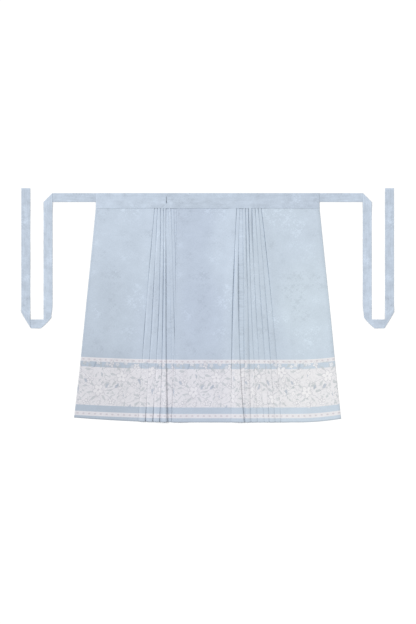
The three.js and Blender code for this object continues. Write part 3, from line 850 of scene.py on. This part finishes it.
# It comes down from the last of the hidden pleats to the under panel
fall_start = edge_line(*LEFT_PLEATS_LEFTWARD[-1]) + (FLAT_TOP - MIDDLE) / 2 + HALF_CLOTH
fallen = smooth_step((centre_x - fall_start[:, None]) / (under_start - fall_start)[:, None])
over = np.interp(down, OVER[:, 0], OVER[:, 1])[:, None]
centre_z = over + (MIDDLE - over) * fallen
centre_z[:, : hem_z.shape[1]] += hem_z - LOW
right_edge = edge_line(*RIGHT_EDGE)
right_hem = hemmed_edge(right_edge, -1)
right_parts = [
    (centre_x, centre_z), *centre_pleats,
    level_between(centre_pleats[-1], facing_pleats[0], 5), *facing_pleats,
    level_between(facing_pleats[-1], right_hem, 26), right_hem,
]
right_sheet = half_sheet(right_parts)
right_painted_tone, right_warmth = painted_sheen_at(*right_sheet[:2])
# Painted shade along the right edge, on top of the painted sheen
painted_shade = np.clip((SHADE_WIDTH - right_edge[:, None] + right_sheet[0]) / SHADE_FADE, 0, 1)
right_painted_tone = right_painted_tone * (1 - EDGE_PAINTED_SHADE * painted_shade)
right_half = sheet_piece("right_half_cloth", *right_sheet, right_painted_tone, right_warmth)
band_hem(right_half, right_sheet)
right_seams = [running(above_row(right_sheet, hem_row))]
right_seams += [running(above_column(right_sheet, column)) for column in (2, -3)]
right_sewing = sewing_piece("right_half_sewing", right_seams)
lay_down(right_half, "right_half")


# Waistband
# A straight strip of the same satin, folded along its top and sewn down over the tops of both halves, so
# it swells over the pleats. A tie passes through its worked slit. Its ends are closed round the ties.

BAND_HALF = 487.3  # half its length
BAND_TOP = 489.5
BAND_BACK = 0.3  # height of the middle of its cloth: back, and front where nothing lies beneath it
BAND_FRONT = 2.3
BAND_ROLL = (1.6, 0.6)  # how the front rolls in at its lower edge: over which width, and how far down
TIE_MIDDLE_Y = 469.9
TIE_OPENING = 21.0  # half the width of the opening at either end where a tie goes in
END_CLOSING = 7.0  # width over which the front comes down at both ends: height there, and at a tie
END_HEIGHT = 0.75
END_HEIGHT_AT_TIE = 1.85
SLIT_X = -179.3
SLIT_LOW = 444.6
SLIT_HIGH = 473.4
SLIT_HALF = 1.2  # half the width of the slit in the front, and in the back
SLIT_HALF_BACK = 0.5
UPPER_STITCH_Y = 474.9
LOWER_STITCH_Y = 426.5
# Each row of stitches pulls the front in along a groove. Columns: y, depth
GROOVES = ((UPPER_STITCH_Y, 0.55), (LOWER_STITCH_Y, 0.5))
GROOVE_WIDTH = 1.6

# How the front swells along its lower edge. Columns: x, height of the front
BAND_SWELL = np.array([
    (-488, 2.3), (-264, 2.3), (-242, 5.2), (-150, 5.3), (-138, 4.7), (-118, 3.4),
    (-104, 3.0), (96, 3.0), (114, 5.3), (246, 5.3), (268, 2.3), (488, 2.3),
])
SWELL_HEIGHT = 40.0  # how far above the seam the swell ends, and over which width it fades out
SWELL_FADE = 24.0
# Ripples of the front: height, and wavelengths divided by a full turn. The pleats make small ones, and slow
# ones run along it and across it
PLEAT_RIPPLE = (0.16, 3.7)
SLOW_RIPPLE = (0.3, 31.0, 21.0)
FINE_RIPPLE = (0.12, 12.7)
# Painted sheen: the band's colour is painted lighter towards its left end, for how its sheen catches the
# light
BAND_PAINTED_SHEEN = ((-BAND_HALF, -100, BAND_HALF), (1.1, 1.015, 0.995))  # x, and how light the band looks there


def band_front(x, y):
    """Height of the front: its swell over the pleats with ripples, less its grooves and its closed edges."""
    swollen = np.interp(x, BAND_SWELL[:, 0], BAND_SWELL[:, 1])
    swollen = swollen + PLEAT_RIPPLE[0] * np.sin(x / PLEAT_RIPPLE[1]) * (swollen > 5)
    front = BAND_FRONT + (swollen - BAND_FRONT) * smooth_step((SEAM_Y + SWELL_HEIGHT - y) / SWELL_FADE)
    front += SLOW_RIPPLE[0] * np.sin(x / SLOW_RIPPLE[1]) * np.sin((y - SEAM_Y) / SLOW_RIPPLE[2])
    front += FINE_RIPPLE[0] * np.sin(x / FINE_RIPPLE[1] + 1.3)
    for groove_y, depth in GROOVES:
        front -= depth * np.exp(-(((y - groove_y) / GROOVE_WIDTH) ** 2))
    front -= BAND_ROLL[1] * smooth_step((SEAM_Y + BAND_ROLL[0] - y) / BAND_ROLL[0])
    closed = smooth_step((np.abs(x) - (BAND_HALF - END_CLOSING)) / END_CLOSING)
    end_height = np.where(np.abs(y - TIE_MIDDLE_Y) > TIE_OPENING, END_HEIGHT, END_HEIGHT_AT_TIE)
    return front - closed * (front - end_height)


def band_grid():
    """Back from its lower edge to the top, a half circle over the fold, and the front down again."""
    at_slit = SLIT_X + np.array([-4, -SLIT_HALF, -SLIT_HALF_BACK, SLIT_HALF_BACK, SLIT_HALF, 4])
    columns = np.concatenate([
        np.linspace(-BAND_HALF, -BAND_HALF + 14, 9), np.arange(-468, -185, 5.2), at_slit,
        np.arange(-170, 468, 5.2), np.linspace(BAND_HALF - 14, BAND_HALF, 9),
    ])
    radius = (BAND_FRONT - BAND_BACK) / 2
    fold_y = BAND_TOP - radius - HALF_CLOTH
    back_y = np.array([SEAM_Y, 430, 438, SLIT_LOW, 452, 459, 466, SLIT_HIGH, 480, fold_y - 3])
    front_y = np.array([
        fold_y - 1, 484, 480, 477.5, 476, UPPER_STITCH_Y, SLIT_HIGH, 470, 466, 459, 452, 448, SLIT_LOW,
        440, 436, 432, 428.5, LOWER_STITCH_Y, 425, 423.6, SEAM_Y,
    ])
    angle = np.linspace(0, math.pi, 10)
    y = np.concatenate([back_y, fold_y + radius * np.sin(angle), front_y])
    turned = np.concatenate([np.zeros(len(back_y)), (1 - np.cos(angle)) / 2, np.ones(len(front_y))])
    x, y = np.meshgrid(columns, y)
    z = BAND_BACK + (band_front(x, y) - BAND_BACK) * turned[:, None]
    around = np.concatenate([[0], np.cumsum(np.hypot(np.diff(y[:, 0]), np.diff(z[:, 0])))])
    return x, y, z, x - x.min(), np.broadcast_to(around[:, None], x.shape)


band_sheet = band_grid()

# The slit: squares of the grid that are left out, wide in the front and narrow in the back
quad_x = (band_sheet[0][1:, 1:] + band_sheet[0][1:, :-1]) / 2
quad_y = (band_sheet[1][1:, 1:] + band_sheet[1][:-1, 1:]) / 2
in_front = band_sheet[2][1:, 1:] > (BAND_BACK + BAND_FRONT) / 2
slit_half = np.where(in_front, SLIT_HALF, SLIT_HALF_BACK)
in_slit = (quad_y > SLIT_LOW) & (quad_y < SLIT_HIGH) & (np.abs(quad_x - SLIT_X) < slit_half)
band_painted_sheen = np.interp(band_sheet[0], *BAND_PAINTED_SHEEN)
waistband = sheet_piece("waistband_cloth", *band_sheet, band_painted_sheen, 0 * band_painted_sheen, kept=~in_slit)
band_satin = satin_damask("band_satin", banded=False, streaks=(12, 120, 0.22), mottled=(22, 0.42))
waistband.data.materials.append(band_satin)

# Its sewing: two rows of lockstitch, and close buttonhole stitch on both sides of the slit
BUTTONHOLE_PITCH = 0.62
BUTTONHOLE_ENDS = ((1.0, -0.1), (3.3, 0.0))  # distance from the middle of the slit, and height on the cloth
band_y = band_sheet[1][:, 0]
on_front = np.arange(len(band_y)) > 20  # the rows before these are the back and the fold
upper_row, lower_row = (int(np.argmax(on_front & (np.abs(band_y - y) < 0.01))) for y, _ in GROOVES)
slit_side = int(np.argmin(np.abs(band_sheet[0][0] - (SLIT_X + SLIT_HALF))))
slit_y = np.arange(SLIT_LOW - 1, SLIT_HIGH + 0.8, BUTTONHOLE_PITCH)
front_rows = np.nonzero(on_front)[0][::-1]
slit_z = np.interp(slit_y, band_y[front_rows], band_sheet[2][front_rows, slit_side]) + HALF_CLOTH
band_seams = [running(above_row(band_sheet, row)[cut:-cut]) for row, cut in ((upper_row, 6), (lower_row, 3))]
for side in (-1, 1):
    band_seams.append([
        np.stack([np.full(len(slit_y), SLIT_X + side * away), slit_y, slit_z + height], axis=1)
        for away, height in BUTTONHOLE_ENDS
    ])
band_sewing = sewing_piece("waistband_sewing", band_seams)
lay_down(waistband, "waistband")


# Ties
# Each is a long narrow ribbon of the same satin, sewn double and turned out, so that its edges are soft
# and closed. It is caught in the end of the waistband and folded at 45 degrees three times.

TIE_WIDTH = 38.5
TIE_HALF = 0.55  # half its thickness
TIE_INSIDE = 9.0  # length that is caught inside the waistband
CREASE_RADIUS = 0.8
NEAR_FOLD = 40.0  # rows of points are closer within this distance of a fold, and lean as its crease does
LEANING_OVER = 34.0  # width over which they turn from straight to leaning
TIE_LEVEL = 0.62  # height of its middle, and how much more it has where the waistband holds it
HELD_LEVEL = 0.95
# It comes down again past a fold and past the waistband: where that begins, or ends, and over which length
LET_DOWN = (26.0, 45.0)
OUT_OF_BAND = (12.0, 20.0)
# Folds: distance along the tie, the way the crease leans, and 1 where the tie is folded over its top
TIE_FOLDS = [(208.0, 1, 1), (758.5, 1, -1), (855.5, -1, 1)]
TIE_LENGTH = 1447.0
# The two lower corners are drawn in. Columns: fold, how far the crease's lower end moves outward, and its
# upper end upward and inward, and how far from the crease each of the two movements reaches
TIE_CORNERS = [(1, 13.0, 9.5, 5.0, 9.0, 26.0), (2, -3.5, 32.0, 0.0, 7.0, 36.0)]
SEAM_INSET = 2.6  # its seams: distance inside its edges, and inside its end
END_SEAM = 9.0
FLAT_TIE = 30  # the higher this power, the flatter a tie is between its edges
# Where it gets thicker or narrower. Columns: from where, over which length, by which share
THICK_EDGES = (0.62, 0.2, 0.26)
GATHERED = (4.0, 10.0, 0.09)
END_HEM = (11.5, 1.3, 0.35)
# Low ripples that keep it from lying quite flat. Columns: height, and wavelengths divided by a full turn
ACROSS_RIPPLE = (0.16, 13.0, 41.0)
ALONG_RIPPLE = (0.3, 90.0, 37.0)
# Painted sheen: the tie's colour is painted lighter or darker along its way, for how its sheen catches the
# light where it lies
TIE_PAINTED_SHEEN = ((0, 30, 208, 760, 860), (0.985, 1.045, 1.055, 1.06, 1.015))  # how light it looks along its way


def folded(along, across, height):
    """Where a point of the straight tie goes when it is folded, last fold first. Past a crease the cloth is
    turned over, and within the crease it goes round a half circle."""
    x, y, z = along.copy(), across.copy(), height.copy()
    turn = math.pi * CREASE_RADIUS
    for at, lean, over in reversed(TIE_FOLDS):
        n_x, n_y = math.sqrt(0.5), -lean * math.sqrt(0.5)
        own = (along - at) * n_x + across * n_y + turn / 2
        now = (x - at) * n_x + y * n_y + turn / 2
        level_z = z * over
        radius = CREASE_RADIUS - level_z
        in_turn = own < turn
        angle = now / CREASE_RADIUS
        moved = np.where(in_turn, radius * np.sin(angle), turn - now)
        raised = np.where(in_turn, CREASE_RADIUS - radius * np.cos(angle), 2 * CREASE_RADIUS - level_z)
        bent = own > 0
        x = np.where(bent, x + n_x * (moved - now), x)
        y = np.where(bent, y + n_y * (moved - now), y)
        z = np.where(bent, raised * over, z)
    return x, y, z


def draw_corners(x, y):
    """Moves the ends of two creases, and the cloth near them by a bell of its distance to the crease. share
    is 0 at the inner edge of the run that goes up from the crease and 1 at its outer edge."""
    new_x, new_y = x.copy(), y.copy()
    for fold, lower, up, inward, lower_reach, upper_reach in TIE_CORNERS:
        crease_x, crease_y, _ = folded(np.array([TIE_FOLDS[fold][0]]), np.zeros(1), np.zeros(1))
        way = -1 if fold == 1 else 1
        off_x, off_y = x - crease_x, y - crease_y
        share = np.clip(way * off_x / TIE_WIDTH + 0.5, 0, 1)
        distance = (way * off_x + off_y) * math.sqrt(0.5)
        low_share = np.clip(off_y / TIE_WIDTH + 0.5, 0, 1)
        new_x += lower * low_share * (1 - share) * np.exp(-((distance / lower_reach) ** 2))
        bell = share * np.exp(-((distance / upper_reach) ** 2))
        new_x -= way * inward * bell
        new_y -= up * bell
    return new_x, new_y


def place_tie(side, along, across, height):
    """From the straight tie to its place in the skirt: folded, let down after each fold, and mirrored. Low
    sines along and across it keep it from lying quite flat."""
    x, y, z = folded(along, across, height)
    x, y = draw_corners(x, y)
    folds = sum(smooth_step((along - at - LET_DOWN[0]) / LET_DOWN[1]) for at, _, _ in TIE_FOLDS)
    drop = folds * 2 * CREASE_RADIUS
    into_band = HELD_LEVEL * smooth_step((OUT_OF_BAND[0] - along) / OUT_OF_BAND[1])
    x, y = side * (BAND_HALF + x), TIE_MIDDLE_Y - y
    ripples = (x, ACROSS_RIPPLE), (side * x, ALONG_RIPPLE)
    ripple = sum(height * (1 + np.sin(own_x / of_x + y / of_y)) for own_x, (height, of_x, of_y) in ripples)
    return x, y, z + TIE_LEVEL - drop + into_band + ripple * smooth_step((along - 6) / 30)


def tie_rows():
    """Rows across the tie: how far along its middle each is, and how far it leans, as the creases do."""
    near = np.array([NEAR_FOLD, 34, 28, 22.5, 17.5, 13, 9.5, 6.5, 4.5, 3.2])
    half = math.pi * CREASE_RADIUS * math.sqrt(2) / 2
    away = np.concatenate([-near, np.linspace(-half, half, 13), near[::-1]])
    lean = np.clip((NEAR_FOLD - np.abs(away)) / LEANING_OVER, 0, 1)
    at_end = TIE_LENGTH - np.array([14, 11.5, 10.2, 6, 2.5, 0.6, 0.0])
    along, leans = [np.array([-TIE_INSIDE, -4.0])], [np.zeros(2)]
    start = 0.0
    for at, way, _ in TIE_FOLDS + [(at_end[0] + NEAR_FOLD, 0, 0)]:
        length = at - NEAR_FOLD - start
        plain = np.linspace(start, at - NEAR_FOLD, max(2, round(length / 8)), endpoint=False)
        along += [plain, at + away] if way else [plain, at_end]
        leans += [np.zeros(len(plain)), way * lean] if way else [np.zeros(len(plain) + len(at_end))]
        start = at + NEAR_FOLD + 5
    return np.concatenate(along), np.concatenate(leans)


def closed_tube(name, points, cloth, tone):
    """A closed skin over rings of points. points is rings by points by 3, and cloth has one column more.
    tone is the painted sheen of each ring, how much lighter or darker its colour is painted."""
    rings, around, _ = points.shape
    corner = np.arange(rings * around).reshape(rings, around)
    beside = np.roll(corner, -1, axis=1)
    quads = np.stack([corner[:-1], beside[:-1], beside[1:], corner[1:]], axis=-1).reshape(-1, 4)
    place = np.arange(rings * (around + 1)).reshape(rings, around + 1)
    corners = np.stack([place[:-1, :-1], place[:-1, 1:], place[1:, 1:], place[1:, :-1]], axis=-1)
    corners = corners.reshape(-1, 4)
    a, b, c, d = (points.reshape(-1, 3)[quads[:, i]] for i in range(4))
    outward = np.sum((a + b + c + d) / 4 * np.cross(c - a, d - b)) > 0
    order = slice(None) if outward else slice(None, None, -1)
    ends = [corner[0][::-1].tolist(), corner[-1].tolist()]
    faces = quads[:, order].tolist() + (ends if outward else [end[::-1] for end in ends])
    at = np.concatenate([corners[:, order].ravel(), place[0, :-1], place[-1, :-1]])
    return new_piece(name, points, faces, cloth.reshape(-1, 2)[at], tone=np.repeat(tone, around))


def tie_skin(side):
    """The rings of a tie: each is a flat loop, whose height is the root of 1 less a high power of the way
    across. It is a little thicker along its edges and at its hemmed end, and narrower in the waistband."""
    along, lean = tie_rows()
    share = np.sin(np.linspace(-math.pi / 2, math.pi / 2, 19))
    around = np.concatenate([share, share[-2:0:-1]])
    upper = np.concatenate([np.ones(19), -np.ones(17)])
    begins, over, more = THICK_EDGES
    thick_edges = 1 - more + more * smooth_step((np.abs(around) - begins) / over)
    section = np.sqrt(1 - np.abs(around) ** FLAT_TIE) * thick_edges * upper
    ends, over, less = GATHERED
    gathered = 1 - less * smooth_step((ends - along) / over)
    across = gathered[:, None] * around * TIE_WIDTH / 2
    own = along[:, None] + lean[:, None] * across
    begins, over, more = END_HEM
    hemmed = 1 + more * smooth_step((along - TIE_LENGTH + begins) / over)
    hemmed *= np.sqrt(np.clip((TIE_LENGTH + 0.05 - along) / 1.2, 0.04, 1))
    hemmed *= 0.6 + 0.4 * smooth_step((along - 1) / 6)
    x, y, z = place_tie(side, own, across, TIE_HALF * section * hemmed[:, None])
    cloth_x = np.concatenate([share, 2 - share[-2:0:-1], [3]]) * TIE_WIDTH / 2
    cloth = np.stack(np.broadcast_arrays(cloth_x, along[:, None]), axis=-1)
    return np.stack([x, y, z], axis=-1), cloth, np.interp(along, *TIE_PAINTED_SHEEN)


def tie_seams(side):
    """Seams just inside both edges of a tie, on its front, and across its end, where the back is up."""
    edge = TIE_WIDTH / 2 - SEAM_INSET
    along = np.linspace(14, TIE_LENGTH - 1.5, 900)
    paths = [(along, np.full(len(along), across * edge), TIE_HALF) for across in (-1, 1)]
    paths += [(np.full(12, TIE_LENGTH - END_SEAM), np.linspace(-edge, edge, 12), -TIE_HALF * 1.3)]
    return [running(np.stack(place_tie(side, at, line, np.full(len(at), height)), axis=1))
            for at, line, height in paths]


tie_satin = satin_damask("tie_satin", banded=False, streaks=(150, 14, 0.4), mottled=(24, 0.5))
for side, tie_name in ((-1, "tie_left"), (1, "tie_right")):
    tie = closed_tube(tie_name + "_cloth", *tie_skin(side))
    tie.data.materials.append(tie_satin)
    tie_sewing = sewing_piece(tie_name + "_sewing", tie_seams(side))
    lay_down(tie, tie_name)


# Floor, light and camera
# The photograph is a cut-out on pure white, taken from straight above in soft, even light.

bpy.ops.mesh.primitive_plane_add(size=12, location=(0, 0, -0.0003))
floor = bpy.context.object
floor.name = "floor"
FLOOR_WHITE = {"Base Color": (0.93, 0.93, 0.93, 1), "Roughness": 1.0, "Specular IOR Level": 0.0}
floor_paint, _ = new_material("floor_paint", FLOOR_WHITE)
floor.data.materials.append(floor_paint)

world = bpy.data.worlds.new("soft_dome")
world.use_nodes = True
world.node_tree.nodes["Background"].inputs["Color"].default_value = (1, 1, 1, 1)
world.node_tree.nodes["Background"].inputs["Strength"].default_value = 0.5
bpy.context.scene.world = world

# Two broad lamps. Columns: strength, lean towards the waist and towards the right
for name, energy, waistward, rightward in (("left_lamp", 1.8, -14, -40), ("right_lamp", 0.9, -14, 40)):
    light = bpy.data.lights.new(name, "SUN")
    light.angle = math.radians(14)
    light.energy = energy
    lamp = put_in_scene(name, light)
    lamp.rotation_euler = (math.radians(waistward), math.radians(rightward), 0)

camera_data = bpy.data.cameras.new("camera")
camera_data.lens = 85
camera_data.sensor_fit = "VERTICAL"
camera_data.sensor_height = 36
camera = put_in_scene("camera", camera_data)
camera.location = (0.0015, -0.0287, 6.42)
bpy.context.scene.camera = camera
bpy.context.scene.view_settings.view_transform = "Standard"
